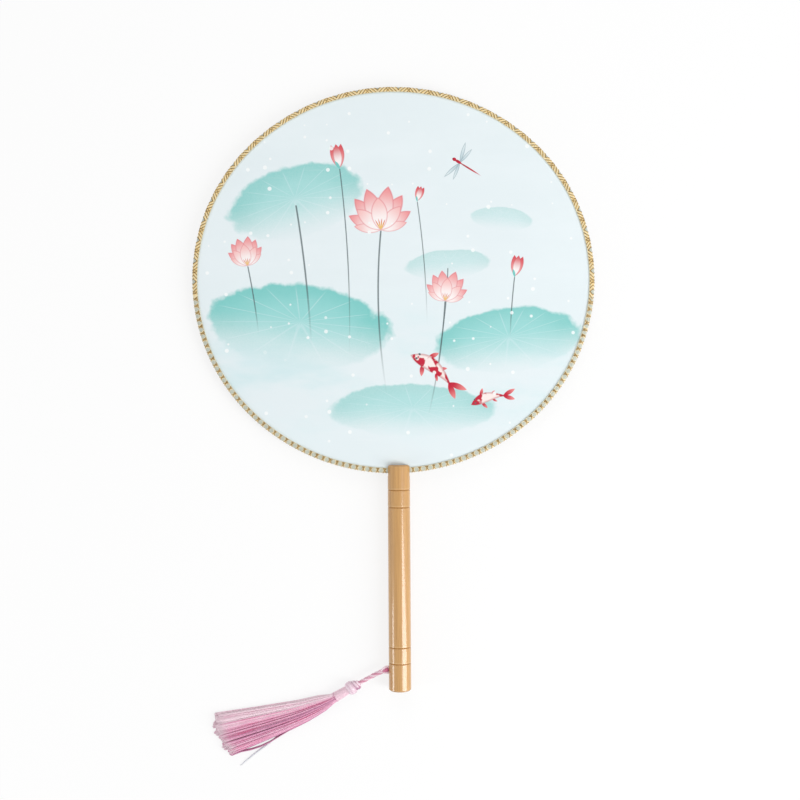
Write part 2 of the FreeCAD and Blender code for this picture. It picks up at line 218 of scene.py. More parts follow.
def seenRay(start):  # one where the camera, a reflection or glass looks
    seen = start.add("LightPath", out="Is Camera Ray")
    for ray in ("Is Glossy Ray", "Is Transmission Ray"):
        seen = seen.maths("MAXIMUM", seen, start.add("LightPath", out=ray))
    return seen


# Light: a pale room, with soft boxes on the right, on the left and past the fan's top
light = {"room": 0.50, "aim": (0, -110, 7),
         # name, place, sizes in metres, watts
         "boxes": [("keyBox", (918, -484, 794), (0.42, 1.05), 11.5),
                   ("sideBox", (-760, -370, 255), (0.2, 0.25), 1.1),
                   ("topBox", (-40, 800, 700), (0.7, 0.7), 2.2)]}
world = bpy.data.worlds.new("room")
scene.world = world
world.use_nodes = True
backdrop = world.node_tree.nodes["Background"]
backdrop.inputs["Color"].default_value = (1, 1, 1, 1)
strength = seenRay(Flow(world.node_tree)) * (1 - light["room"]) + light["room"]
world.node_tree.links.new(strength.socket, backdrop.inputs["Strength"])
for name, spot, size, power in light["boxes"]:
    lamp = bpy.data.lights.new(name, "AREA")
    lamp.shape, lamp.size, lamp.size_y, lamp.energy = "RECTANGLE", size[0], size[1], power
    holder = put(name, lamp)
    holder.location = Vector(spot) * mm
    holder.rotation_euler = (Vector(light["aim"]) - Vector(spot)).to_track_quat("-Z", "Y").to_euler()

# Floor: white paper that takes a faint shadow, its size in metres
floor = {"size": 40.0, "white": (0.95, 0.95, 0.95, 1), "shadow": 0.2}
floorMesh = bpy.data.meshes.new("floor")
half = floor["size"] / 2
floorMesh.from_pydata([(-half, -half, 0), (half, -half, 0), (half, half, 0), (-half, half, 0)], [],
                      [(0, 1, 2, 3)])
floorFinish, start = surface("paperFloor", {"Base Color": floor["white"], "Roughness": 0.9,
                                            "Specular IOR Level": 0.1})[:2]
paper = Flow(start.tree, start.tree.nodes["Principled BSDF"].outputs[0])
glow = start.add("Emission")
shown = start.add("MixShader", None, {0: seenRay(start) * (1 - floor["shadow"]), 1: paper, 2: glow})
start.tree.links.new(shown.socket, start.tree.nodes["Material Output"].inputs["Surface"])
floorMesh.materials.append(floorFinish)
table = put("floor", floorMesh)
print("camera, light and floor set")


# Handle: varnished bamboo, with fine grain along it and burnt grooves
stick = {"light": srgb(220, 172, 105), "body": srgb(201, 151, 84), "dark": srgb(169, 119, 63),
         "burn": srgb(160, 110, 62), "grooveHighlight": srgb(240, 210, 162), "coat": 0.85,
         "grooves": (-181.0, -170.4, -78.2, -66.8), "grooveWidth": 0.45,
         "highlightAbove": 0.95,  # how far above a groove its painted highlight lies, a pale line where the groove's edge would catch the light
         "ends": (-199.2, -50.2)}
bamboo, start, feed = surface("varnishedBamboo", {"Coat Roughness": 0.12, "Coat IOR": 1.55,
                                                  "Specular IOR Level": 0.4})
broad = start.noise(start.place((120, 5, 120)), 1.0, 3)
fibre = start.noise(start.place((1500, 26, 1500)), 1.0, 4, 0.6)
dash = start.noise(start.place((2600, 150, 2600)), 1.0, 2)
tone = fibre.smooth(0.3, 0.72).blend(stick["dark"], stick["light"])
tone = broad.smooth(0.2, 0.8, 0.42, 0.85).blend(tone, stick["body"])
tone = (dash.smooth(0.64, 0.76) * 0.5).blend(tone, stick["dark"])
height = start.place().xyz()[1]
coat = stick["coat"]
for groove in stick["grooves"]:
    near = abs(height - groove).smooth(stick["grooveWidth"] * 1.6, stick["grooveWidth"] * 0.2)
    tone = (near * 0.4).blend(tone, stick["burn"])
    # painted highlight: a pale line along each groove's upper edge, where the edge would catch the light
    pale = abs(height - groove - stick["highlightAbove"]).smooth(0.5, 0.1)
    tone = (pale * 0.2).blend(tone, stick["grooveHighlight"])
    coat = coat - near * 0.6
for end in stick["ends"]:
    tone = (abs(height - end).smooth(1.2, 0.2) * 0.45).blend(tone, stick["dark"])
low, high = stick["ends"]
halfLong = (high - low) / 2
pores = start.add("TexVoronoi", None, {"Vector": start.place((1000, 30, 1000)), "Scale": 1.5})
cutEnd = abs(height - (low + high) / 2).smooth(halfLong - 0.08, halfLong - 0.02)
tone = (cutEnd * pores.smooth(0.34, 0.2) * 0.7).blend(tone, stick["burn"])
feed(Base_Color=tone, Roughness=fibre.smooth(0.2, 0.8, 0.26, 0.46), Coat_Weight=coat,
     Normal=start.bump(fibre * 0.6 + dash * 0.4, 0.00008, 0.7))
steel, start, feed = surface("springSteel", {"Metallic": 1.0})
rub = start.noise(start.place((60, 60, 60)), 8.0, 4)
feed(Base_Color=rub.blend(srgb(150, 152, 155), srgb(186, 188, 190)),
     Roughness=rub.smooth(0.2, 0.8, 0.25, 0.45))
for node, finish in (("handle", bamboo), ("hoop_wire", steel)):
    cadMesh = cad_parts[node].data
    cadMesh.materials.clear()
    cadMesh.materials.append(finish)
print("handle and hoop dressed")


# The rim's line: four arcs, given by the direction that the rim faces
rim = {"middle": (0, 71.7, 7.4), "sideRadius": 122.067, "sideOff": 8.783, "endRadius": 134.75, "endOff": 9.15}
rimJoin = math.atan2(rim["endOff"], rim["sideOff"])


def rimLine(turn):
    wayX, wayY = np.cos(turn), np.sin(turn)
    atSide = np.abs(wayX) >= math.cos(rimJoin)
    radius = np.where(atSide, rim["sideRadius"], rim["endRadius"])
    x = np.where(atSide, np.sign(wayX) * rim["sideOff"], 0) + radius * wayX
    y = np.where(atSide, 0, -np.sign(wayY) * rim["endOff"]) + radius * wayY
    return np.stack([x, y, np.zeros_like(x)], -1) + rim["middle"]


# Face: silk with a painted pond, in millimetres from the face's middle
pond = {"ground": srgb(230, 240, 243), "sky": srgb(234, 243, 246), "dot": srgb(250, 253, 253),
        "teal": srgb(148, 215, 212), "deepTeal": srgb(120, 202, 197), "mist": srgb(203, 232, 235),
        "stem": srgb(84, 98, 102), "gold": srgb(236, 190, 92), "coral": srgb(214, 74, 84),
        "petal": srgb(252, 246, 245), "petalLine": srgb(224, 120, 130),
        "backTip": srgb(238, 150, 152), "frontTip": srgb(246, 192, 190),
        "blush": srgb(240, 158, 158), "budLine": srgb(206, 84, 98),
        "crimson": srgb(196, 34, 60), "crimsonTip": srgb(160, 24, 48), "finTip": srgb(238, 140, 140),
        "belly": srgb(250, 236, 232), "fishLine": srgb(176, 26, 52),
        "wing": srgb(196, 214, 220), "wingLine": srgb(120, 150, 160),
        # middle, half sizes, tilt, strength
        "leaves": [((72, 40), (22, 8), -6, 0.34), ((36, 10), (30, 10), 4, 0.4),
                   ((-64, 52), (47, 25), 14, 0.8), ((12, -86), (56, 18), 0, 0.62),
                   ((76, -40), (50, 22), 7, 0.9), ((-62, -30), (62, 29), -6, 0.95)], "veins": 15,
        # top, lean, bow, length, half width
        "stems": [((-64, 50), -0.16, 0.0006, 96, 0.75), ((-8, 33), 0.1, -0.0012, 112, 0.7),
                  ((34, -14), 0.06, 0.0012, 78, 0.6), ((-35, 74), -0.12, 0.0006, 128, 0.5),
                  ((80, 2), 0.12, -0.001, 42, 0.5), ((-96, 10), -0.2, 0.001, 46, 0.55),
                  ((36, 8), 0.03, 0.0014, 66, 0.45), ((16, 52), -0.14, 0.0008, 84, 0.42)],
        # base, petal half length, tilt, how far open
        "blossoms": [((-8, 33), 13.5, 4, 1.0), ((34, -14), 9.5, -8, 0.9), ((-96, 10), 9.0, 10, 0.75)],
        # by the colour of the tip: turn, share of the length, half width
        "petals": {"backTip": [(-62, 0.86, 0.36), (62, 0.86, 0.36), (-36, 1.0, 0.38), (36, 1.0, 0.38),
                               (-14, 1.08, 0.4), (15, 1.06, 0.4)],
                   "frontTip": [(-78, 0.66, 0.34), (78, 0.66, 0.34), (-44, 0.76, 0.42), (45, 0.78, 0.42),
                                (1, 0.8, 0.5)]},
        "stamens": (-26, -9, 8, 25),
        "buds": [((-35, 74), 8.0, 9), ((80, 2), 7.0, -12), ((16, 52), 5.0, -16)],
        "budPetals": [(-12, 0.34, "blush"), (12, 0.34, "blush"), (0, 0.36, "petal")],
        # middle, half length, heading
        "fish": [((26, -58), 17.0, 52), ((62, -78), 12.0, 104)],
        # base, half length, half width and turn, in shares of the fish
        "fins": [((-0.1, -0.82), 0.34, 0.34, 150), ((-0.1, -0.82), 0.38, 0.3, 196),
                 ((0.16, 0.4), 0.24, 0.36, -118), ((-0.14, 0.42), 0.24, 0.36, 122),
                 ((0.1, -0.2), 0.16, 0.36, -140), ((-0.12, -0.2), 0.16, 0.36, 140)],
        "eyes": (0.09, -0.11),
        "dragonfly": ((46, 76), 9.5, 58),
        # middle, half length and turn of a wing; middle, half length and half width of a body part
        "wings": [((0.72, 0.42), 0.72, -74), ((-0.72, 0.42), 0.72, 74), ((0.62, 0.1), 0.64, -100),
                  ((-0.62, 0.1), 0.64, 100)],
        "bodyParts": [((0, -0.5), 0.95, 0.06), ((0, 0.35), 0.3, 0.34), ((0, 0.66), 0.15, 0.8)],
        "dotScale": 0.075}


def spotOn(face, middle, long, tilt, wide=None):  # the shape's own x and y, 1 at its ends
    cos, sin = math.cos(math.radians(tilt)), math.sin(math.radians(tilt))
    wide = wide or long
    rows = ((cos / wide, sin / wide, -(middle[0] * cos + middle[1] * sin) / wide),
            (-sin / long, cos / long, (middle[0] * sin - middle[1] * cos) / long))
    return [face.vector("DOT_PRODUCT", face, row, out=1) for row in rows]


def joined(x, y, z=0.0):
    return x.add("CombineXYZ", None, {0: x, 1: y, 2: z})


def almond(x, y, width):  # below 0 inside a pointed shape with tips at y -1 and 1
    push = (1 - width * width) / (2 * width)
    corner = joined(abs(x) + push, y)
    return corner.vector("LENGTH", corner, out=1) - (width + push)


def dab(colour, face, middle, long, width, tilt, paint, ends=None, line=None):  # paints by their names
    x, y = spotOn(face, middle, long, tilt)
    inside = almond(x, y, width)
    paint = pond[paint]
    if ends:
        paint = y.smooth(-0.55, 1.0).blend(paint, pond[ends])
    if line:
        paint = (inside.smooth(-0.09, -0.01) * 0.7).blend(paint, pond[line])
    return inside.smooth(0.03, -0.03).blend(colour, paint)


def along(base, long, tilt):  # middle of a petal that stands on the base
    return (base[0] - math.sin(math.radians(tilt)) * long, base[1] + math.cos(math.radians(tilt)) * long)


def paintLeaf(colour, face, rough, grain, middle, size, tilt, strength):
    x, y = spotOn(face, middle, size[1], tilt, size[0])
    far = joined(x, y)
    far = far.vector("LENGTH", far, out=1)
    edge = far + (rough - 0.5) * 0.34
    wash = edge.smooth(1.0, 0.9) * y.smooth(-0.95, 0.35, 0.04, 1.0) * strength
    wash = wash + (grain - 0.5) * 1.1 * wash * (1 - wash)
    vein = x.maths("ARCTAN2", y - 0.1, x) * (pond["veins"] / (2 * math.pi))
    vein = (vein.maths("PINGPONG", vein, 0.5) * far).smooth(0.035, 0.0) * edge.smooth(0.95, 0.7)
    paint = edge.smooth(0.35, 1.0).blend(pond["teal"], pond["deepTeal"])
    paint = (vein * 0.45).blend(paint, pond["mist"])
    return wash.blend(colour, paint)


def paintBlossom(colour, face, base, long, tilt, opened):
    for tip, petals in pond["petals"].items():
        for turn, share, width in petals:
            lean = tilt + turn * opened
            colour = dab(colour, face, along(base, long * share, lean), long * share, width, lean,
                         "petal", tip, "petalLine")
    for turn in pond["stamens"]:
        colour = dab(colour, face, along(base, long * 0.3, tilt + turn), long * 0.28, 0.1, tilt + turn,
                     "gold", "coral")
    return colour


def paintBud(colour, face, base, long, tilt):
    for turn, width, paint in pond["budPetals"]:
        colour = dab(colour, face, along(base, long, tilt + turn), long, width, tilt + turn,
                     paint, "coral", "budLine")
    lean = tilt + 24  # the green cup
    return dab(colour, face, along(base, long * 0.3, lean), long * 0.4, 0.3, lean, "deepTeal")


def paintFish(colour, face, blotch, middle, long, heading):
    x, y = spotOn(face, middle, long, heading)
    local = joined(x, y, 1.0)
    for base, size, width, turn in pond["fins"]:
        colour = dab(colour, local, along(base, size, turn), size, width, turn, "crimson", "finTip")
    inside = almond(x + y * y * 0.2 - 0.05, y - 0.3 + y * y * 0.3, 0.27) + y.smooth(-1.3, -1.7)
    paint = blotch.blend(pond["crimson"], pond["belly"])
    paint = (inside.smooth(-0.12, 0.0) * 0.6).blend(paint, pond["fishLine"])
    colour = inside.smooth(0.025, -0.025).blend(colour, paint)
    for side in pond["eyes"]:
        colour = dab(colour, local, (side, 0.74), 0.05, 0.8, 0, "stem")
    return colour


def paintPond(start):
    spot = start.place()
    x, y = spot.xyz()[:2]
    across, up = x - rim["middle"][0], y - rim["middle"][1]
    face = joined(across, up, 1.0)
    grain = start.noise(spot, 1.1, 2, 0.7)
    rough = start.noise(spot, 0.06, 3, 0.6)
    blotch = start.noise(spot, 0.16, 2).smooth(0.47, 0.53)
    cloud = start.noise(start.place((11, 30, 0)), 1.0, 4, 0.55)
    colour = cloud.smooth(0.35, 0.75).blend(pond["ground"], pond["sky"])
    haze = cloud.smooth(0.42, 0.7) * up.smooth(10, -70) * up.smooth(-128, -60)
    colour = (haze * 0.75).blend(colour, pond["mist"])
    for leaf in pond["leaves"]:
        colour = paintLeaf(colour, face, rough, grain, *leaf)
    for top, lean, bow, long, width in pond["stems"]:
        down = top[1] - up
        off = abs(across - top[0] + down * lean + down * down * bow)
        mask = off.smooth(width, width * 0.45) * down.smooth(0, 0.8) * down.smooth(long, long * 0.45)
        colour = (mask * 0.85).blend(colour, pond["stem"])
    for blossom in pond["blossoms"]:
        colour = paintBlossom(colour, face, *blossom)
    for bud in pond["buds"]:
        colour = paintBud(colour, face, *bud)
    for fish in pond["fish"]:
        colour = paintFish(colour, face, blotch, *fish)
    middle, long, heading = pond["dragonfly"]
    local = joined(*spotOn(face, middle, long, heading), 1.0)
    for at, size, turn in pond["wings"]:
        colour = dab(colour, local, at, size, 0.16, turn, "wing", "ground", "wingLine")
    for at, size, width in pond["bodyParts"]:
        colour = dab(colour, local, at, size, width, 0, "crimson", "crimsonTip")
    flecks = [start.add("TexVoronoi", {"voronoi_dimensions": "2D"},
                        {"Vector": spot, "Scale": pond["dotScale"]}, out=out) for out in (0, 1)]
    pick, size = flecks[1].xyz()[:2]
    dot = (flecks[0] - size * 0.07).smooth(0.05, 0.02) * pick.smooth(0.62, 0.66)
    return (dot * 0.8).blend(colour, pond["dot"]), across, up, grain


# Silk sheets: stretched on the hoop, woven finely, and a touch slack
silk = {"lap": 0.3, "thick": 0.2, "slack": 0.07, "around": 216, "rings": 44,
        "ripple": (0.045, 0.05), "warp": 0.36, "weft": 0.3, "slub": srgb(246, 250, 251),
        # name, node, height, way that it faces
        "sheets": [("frontSilk", "front_silk", 8.85, 1), ("backSilk", "back_silk", 5.95, -1)]}
silkCloth, start, feed = surface("paintedSilk", {"Sheen Weight": 0.15, "Sheen Roughness": 0.4,
                                                 "Specular IOR Level": 0.25})
colour, across, up, grain = paintPond(start)
warp = across.maths("SINE", across * (2 * math.pi / silk["warp"]))
weft = up.maths("SINE", up * (2 * math.pi / silk["weft"]))
weave = warp.maths("MAXIMUM", warp * 0.7, weft)
slub = start.noise(start.place((28, 900, 900)), 1.0, 2)
colour = (slub.smooth(0.6, 0.8) * 0.1).blend(colour, silk["slub"])
feed(Base_Color=colour, Roughness=grain.smooth(0.2, 0.8, 0.5, 0.64),
     Normal=start.bump(weave + slub, 0.00002, 0.5))

turns = fullTurn(silk["around"])
lap = silk["lap"] * np.stack([np.cos(turns), np.sin(turns)], -1)
edge = rimLine(turns)[:, :2] + lap - rim["middle"][:2]
shares = np.linspace(0, 1, silk["rings"] + 1)[1:]
flat = (shares[:, None, None] * edge).reshape(-1, 2)
share = np.repeat(shares, silk["around"])
around = np.arange(silk["around"])
nextOne = (around + 1) % silk["around"]
for name, node, level, facing in silk["sheets"]:
    ripple = np.sin(flat[:, 0] * silk["ripple"][0] + 1.0) * np.sin(flat[:, 1] * silk["ripple"][1] + facing)
    ripple = ripple * (1 - share ** 4)
    x, y = np.append(flat[:, 0], 0), np.append(flat[:, 1], 0)  # the middle comes last
    z = level - facing * silk["slack"] * (1 + np.append(ripple, 0)) * np.append(1 - share ** 6, 1)
    points = np.stack([x + rim["middle"][0], y + rim["middle"][1], z], -1)
    faces = []
    for ring in range(silk["rings"] - 1):
        low, high = ring * silk["around"], (ring + 1) * silk["around"]
        faces += np.stack([low + around, high + around, high + nextOne, low + nextOne], -1).tolist()
    faces += np.stack([np.full_like(around, len(points) - 1), around, nextOne], -1).tolist()
    if facing < 0:
        faces = [face[::-1] for face in faces]
    cloth = piece(name, points, faces, silkCloth, "fan", [node], "silk")
    thicken(cloth, silk["thick"])
print("silks stretched")


# Gold braid: a tape folded over the rim, with half diamonds of gold yarn and cream in their middles.
# Towards the fan's foot the middles lie further in, and a row of crosses takes over
braid = {"out": 1.9, "leg": 1.5, "thick": 0.4, "gap": (7.65, -2.05), "repeat": 13.7, "steps": 2000,
         "depth": 3.35,  # how far in the yarns reach
         "rows": (5, 8),  # along the leg and round the fold
         "sink": 1.7, "foot": (0.5, 0.9),  # how far in the middles lie at the foot, and how that comes on
         "deep": 1.0,  # crosses take over where the middles lie deeper than this
         "lines": (2.2, 4.6, 7.0, 9.2),  # half sizes of the diamonds
         "past": 1.2,  # how far a line runs on past the end of its repeat
         # the crosses: how many to a repeat, half size, slope, and how much smaller the cream is
         "parts": 3, "cross": 2.6, "lean": 0.65, "creamLess": 0.7,
         "hatch": (0.8, 0.5),  # a short line on the inner half: how much wider, and how far in it begins
         "stray": 0.2, "faint": 0.1,  # how uneven the crosses are in place and in shade
         # the two yarns of a line: sideways, radius, share of it in a cross, lightest and darkest
         "yarns": [(-0.28, 0.24, 0.9, 0.2, 0.0), (0.28, 0.2, 0.6, 1.0, 0.8)],
         "lifts": {1: 0.06, -1: 0.03}, "points": 7, "sides": 5,
         "edging": {"steps": 900, "radius": 0.2, "sides": 6, "lift": 0.02, "cream": 0.6, "stretch": 0.6}}
tableTurn = np.linspace(-math.pi / 2 + math.asin(braid["gap"][0] / rim["endRadius"]),
                        1.5 * math.pi + math.asin(braid["gap"][1] / rim["endRadius"]), 6000)
tableRun = runOf(rimLine(tableTurn))


def onTape(run, drop, side, lift):  # along the rim, in from its edge, upper or under side
    turn = np.interp(run, tableRun, tableTurn)
    out = braid["out"] - drop
    bent = np.clip(out / braid["out"], 0, 1)
    rise = np.where(out > 0, np.sqrt(1 - bent ** 2), 1)
    outward = np.stack([np.cos(turn), np.sin(turn), np.zeros_like(turn)], -1)
    upward = np.array([0, 0, 1]) * side
    normal = outward * bent[..., None] + rise[..., None] * upward
    return (rimLine(turn) + outward * out[..., None] + upward * (braid["out"] * rise)[..., None]
            + normal * lift, normal)


goldYarn, start, feed = surface("goldYarn", {"Metallic": 0.25, "Sheen Weight": 0.1})
shade = start.attribute("shade")
twist = start.noise(start.place(), 2.6, 2)
tone = shade.blend(srgb(112, 78, 26), srgb(246, 214, 142))
tone = (twist.smooth(0.45, 0.75) * 0.12).blend(tone, srgb(240, 212, 140))
feed(Base_Color=tone, Roughness=twist.smooth(0.2, 0.8, 0.32, 0.5), Normal=start.bump(twist, 0.0001, 0.6))
goldTape, start, feed = surface("goldTape", {"Metallic": 0.1, "Sheen Weight": 0.25, "Sheen Roughness": 0.4})
run, drop, cream = (start.attribute(name) for name in ("run", "drop", "cream"))
rib = run.maths("SINE", run * (2 * math.pi / 0.62))
cross = drop.maths("SINE", drop * (2 * math.pi / 0.5))
weave = rib.maths("MAXIMUM", rib, cross * 0.8)
fuzz = start.noise(start.place(), 1.4, 3)
tone = fuzz.blend(srgb(246, 224, 172), srgb(252, 238, 200))
# the cream's own colour, darkened further as painted shade for the fan's foot, where most of the cream lies
tone = cream.blend(tone, fuzz.blend(srgb(190, 195, 181), srgb(211, 215, 202)))
# painted shade: the tape is darker in the hollows of its weave
tone = (weave.smooth(0.2, -0.6) * 0.25).blend(tone, srgb(204, 192, 150))
feed(Base_Color=tone, Roughness=fuzz.smooth(0.2, 0.8, 0.42, 0.6), Normal=start.bump(weave, 0.00012, 0.8))

total = tableRun[-1]
repeats = round(total / braid["repeat"])
pitch = total / repeats
runs = np.linspace(0, total, braid["steps"])
legRows, foldRows = braid["rows"]
drops = np.concatenate([np.linspace(braid["out"] + braid["leg"], braid["out"], legRows)[:-1],
                        braid["out"] * (1 - np.cos(np.linspace(math.pi / 2, 0, foldRows)))])
rows = [(drop, 1) for drop in drops] + [(drop, -1) for drop in drops[-2::-1]]
tape = np.stack([onTape(runs, np.full_like(runs, drop), side, -0.02)[0] for drop, side in rows], 1)


def sinkAt(run):  # how far in from the edge the diamonds' middles lie
    start, growth = braid["foot"]
    return braid["sink"] * np.clip(start - growth * np.sin(np.interp(run, tableRun, tableTurn)), 0, 1)


def creamAt(run, drop):  # above zero where the tape shows cream
    deep = sinkAt(run) > braid["deep"]
    parts, lean = np.where(deep, braid["parts"], 1), np.where(deep, braid["lean"], 1)
    far = np.abs((run * parts / pitch % 1 - 0.5) * braid["repeat"] / parts)
    far = far + lean * np.abs(drop - sinkAt(run))
    return np.where(deep, braid["cross"] - braid["creamLess"], braid["lines"][0]) - far


# One repeat's figures: middle, half sizes with their starts, slope, faintness, and whether it is a cross
def diamondsOf(index):
    if sinkAt((index + 0.5) * pitch) <= braid["deep"]:
        return [((index + 0.5) * pitch, [(size, 0) for size in braid["lines"]], 1, 0, False)]
    wider, deeper = braid["hatch"]
    made = []
    for part in range(braid["parts"]):
        middle = (index + (part + 0.5) / braid["parts"]) * pitch + chance.normal(0, braid["stray"])
        sizes = [(braid["cross"], 0), (braid["cross"] + wider, sinkAt(middle) + deeper)]
        made.append((middle, sizes, braid["lean"], chance.uniform(0, braid["faint"]), True))
    return made


def dropsOf(size, first, sink):  # how far in the points of a line lie
    if first:
        return np.linspace(first, braid["depth"], braid["points"])
    ends = max(0, sink - size), min(braid["depth"], sink + size)
    return np.sort(np.append(np.linspace(*ends, braid["points"] - 1), sink))


inward = np.array([drop for drop, side in rows])
grid = np.arange(len(runs) * len(rows)).reshape(len(runs), len(rows))
faces = np.stack([grid[:-1, :-1], grid[:-1, 1:], grid[1:, 1:], grid[1:, :-1]], -1).reshape(-1, 4).tolist()
tapePiece = piece("braidTape", tape.reshape(-1, 3), faces, goldTape, "fan", ["rim_braid"], "gold_braid",
                  run=np.repeat(runs, len(rows)), drop=np.tile(inward, len(runs)),
                  cream=np.clip((creamAt(runs[:, None], inward) - 0.1) / 0.3, 0, 1))
thicken(tapePiece, braid["thick"])

lines, ups, shades, radii = [], [], [], []
diamonds = [diamond for index in range(repeats) for diamond in diamondsOf(index)]
for middle, sizes, lean, faint, isCross in diamonds:
    sink = sinkAt(middle)
    for side, way, (size, first) in itertools.product((1, -1), (1, -1), sizes):
        drop = dropsOf(size, first, sink)
        away = np.clip(size - lean * np.abs(drop - sink), 0, braid["repeat"] / 2 + braid["past"])
        away = away * pitch / braid["repeat"]
        for off, radius, thinner, lightest, darkest in braid["yarns"][:1 if first else 2]:
            place = np.clip(middle + way * (away + off), 0, total)
            line, up = onTape(place, drop, side, braid["lifts"][way * side])
            lines.append(line)
            ups.append(up)
            shade = chance.uniform(darkest, lightest)
            shades.append(shade + (1 - shade) * faint)
            radii.append([radius * (thinner if isCross else 1)] * braid["points"])
points, faces = tubes(lines, radii, braid["sides"], np.array(ups))
piece("braidYarns", points, faces, goldYarn, "fan", (), "gold_braid",
      shade=spread(shades, braid["points"], braid["sides"]))

edging = braid["edging"]
runs = np.linspace(0, total, edging["steps"])
edges = [onTape(runs, np.full_like(runs, braid["depth"]), side, edging["lift"])[0] for side in (1, -1)]
points, faces = tubes(edges, edging["radius"], edging["sides"])
piece("braidEdging", points, faces, goldTape, "fan", (), "gold_braid",
      run=np.repeat(np.tile(runs, 2), edging["sides"]) * edging["stretch"],
      drop=np.zeros(len(points)), cream=np.full(len(points), edging["cream"]))
print("braid sewn,", len(lines), "yarns")


# Pink floss, for the cord, the knot and the band
def pinkFloss(name, low, high, roughness=0.42, sheen=0.3):
    material, start, feed = surface(name, {"Sheen Weight": sheen, "Sheen Roughness": 0.35,
                                           "Specular IOR Level": 0.5})
    shade = start.attribute("shade")
    fleck = start.noise(start.place(), 1.6, 3, 0.6)
    tone = (shade + (fleck - 0.5) * 0.4).smooth(0.0, 1.0).blend(low, high)
    feed(Base_Color=tone, Roughness=fleck.smooth(0.2, 0.8, roughness - 0.08, roughness + 0.1),
         Normal=start.bump(fleck, 0.00005, 0.4))
    return material


def flutes(count, depth, points, twist):  # the yarns that make up one ply
    def profile(angle):
        return 1 + depth * np.cos(count * angle[None, None] + np.arange(points)[None, :, None] * twist)
    return profile


def oval(wide, thick, count, depth):  # a flattened strand, with the floss that it is made of
    def profile(angle):
        size = 1 / np.sqrt((np.cos(angle) / wide) ** 2 + (np.sin(angle) / thick) ** 2)
        return (size * (1 + depth * np.cos(count * angle)))[None, None]
    return profile


def merged(lots):  # several lots of points and faces as one
    faces, start = [], 0
    for points, more in lots:
        faces += [[index + start for index in face] for face in more]
        start += len(points)
    return np.concatenate([points for points, more in lots]), faces


plyFloss = pinkFloss("plyFloss", srgb(206, 106, 144), srgb(242, 214, 226))
knotFloss = pinkFloss("knotFloss", srgb(180, 122, 154), srgb(240, 216, 228), 0.24, 0.15)
bandFloss = pinkFloss("bandFloss", srgb(212, 150, 178), srgb(242, 212, 224), 0.3, 0.15)

# Cord: four twisted plies along a smooth route, its ends hidden in the hitch and the knot
cord = {"diameter": 2.6, "lay": 11.0, "ply": (0.66, 0.57), "yarns": 6, "shades": (0.9, 0.48, 0.82, 0.36),
        "apart": 1.36,  # how far a ply lies from the middle, in radii of the ply
        "begin": 1.2, "sides": 16, "flute": (0.08, -0.18),  # depth of the yarns, and their turn at each point
        "shaded": 4.5,  # how far from the handle the plies lie in its shade
        "route": [(-5.3, -185.55, 7.45), (-7.2, -185.7, 7.4), (-18.2, -191.2, 6.0), (-28.6, -197.42, 4.6),
                  (-31.55, -199.12, 4.6)]}
curve = bpy.data.curves.new("cordRoute", "CURVE")
curve.dimensions = "3D"
spline = curve.splines.new("NURBS")
spline.points.add(len(cord["route"]) - 1)
for control, spot in zip(spline.points, cord["route"]):
    control.co = (spot[0] * mm, spot[1] * mm, spot[2] * mm, 1)
spline.order_u = 3
spline.use_endpoint_u = True
spline.resolution_u = 24
routeObject = bpy.data.objects.new("cordRoute", curve)
routeMesh = bpy.data.meshes.new_from_object(routeObject)
route = np.array([vertex.co[:] for vertex in routeMesh.vertices]) / mm
bpy.data.objects.remove(routeObject)
bpy.data.meshes.remove(routeMesh)
bpy.data.curves.remove(curve)
routeRun = runOf(route)
ahead = unit(np.gradient(route, axis=0))
aside = unit(np.cross(ahead, (0, 0, 1)))
above = np.cross(aside, ahead)
angle = cord["begin"] - routeRun * 2 * math.pi / cord["lay"]
thin = np.interp(routeRun, (0, routeRun[-1]), cord["ply"])
plies = []
for quarter in np.arange(4) * math.pi / 2:
    turn = angle[:, None] + quarter
    plies.append(route + cord["apart"] * thin[:, None] * (aside * np.cos(turn) + above * np.sin(turn)))
depth, twist = cord["flute"]
points, faces = tubes(plies, thin, cord["sides"], profile=flutes(cord["yarns"], depth, len(route), twist))
shades = np.outer(cord["shades"], np.clip(routeRun / cord["shaded"], 0, 1))
cordPiece = piece("tasselCord", points, faces, plyFloss, "cord", ["tassel_cord"], "pink_cord",
                  shade=np.repeat(shades, cord["sides"]))

# Hitch: two plies come out of the handle's flank, open a little and close on the cord, round a rose core. The
# core takes the darkest shade, as painted shade in the middle of the loop
hitch = {"from": -3.9, "height": -185.6, "level": 7.4, "hole": 1.15, "close": 0.85, "fall": 1.0, "rise": 0.5,
         "points": 22, "sides": 20, "flute": (0.08, 0.3),
         # above, below or the core between; end, how far it opens, radius, shade
         "plies": [(1, -9.6, 1.25, 0.72, 0.95), (-1, -9.2, 0.7, 0.72, 0.85), (0, -8.7, 0.0, 1.1, 0.05)]}
share = np.linspace(0, 1, hitch["points"])
plyLines, radii = [], []
for sign, end, opening, radius, shade in hitch["plies"]:
    x = hitch["from"] + (end - hitch["from"]) * share
    apart = hitch["hole"] + opening * np.sin(math.pi * share ** 0.8) - hitch["close"] * share ** 2
    y = hitch["height"] + sign * apart - hitch["fall"] * share ** 2
    bulge = hitch["rise"] * np.sin(math.pi * share) if sign else 0.2
    z = hitch["level"] + sign * hitch["rise"] * share + bulge
    plyLines.append(np.stack([x, y, z], -1))
    radii.append(radius * (np.ones_like(share) if sign else 1 - 0.35 * np.abs(2 * share - 1)))
depth, twist = hitch["flute"]
points, faces = tubes(plyLines, radii, hitch["sides"],
                      profile=flutes(cord["yarns"], depth, hitch["points"], twist))
piece("cordHitch", points, faces, plyFloss, "fan", ["cord_anchor"], "pink_cord",
      shade=spread([ply[4] for ply in hitch["plies"]], hitch["points"], hitch["sides"]))


def wayAt(degrees):  # the tassel's way along the table, turned from -X towards -Y, and the way square to it
    turn = math.radians(degrees)
    return np.array([-math.cos(turn), -math.sin(turn), 0]), np.array([math.sin(turn), -math.cos(turn), 0])


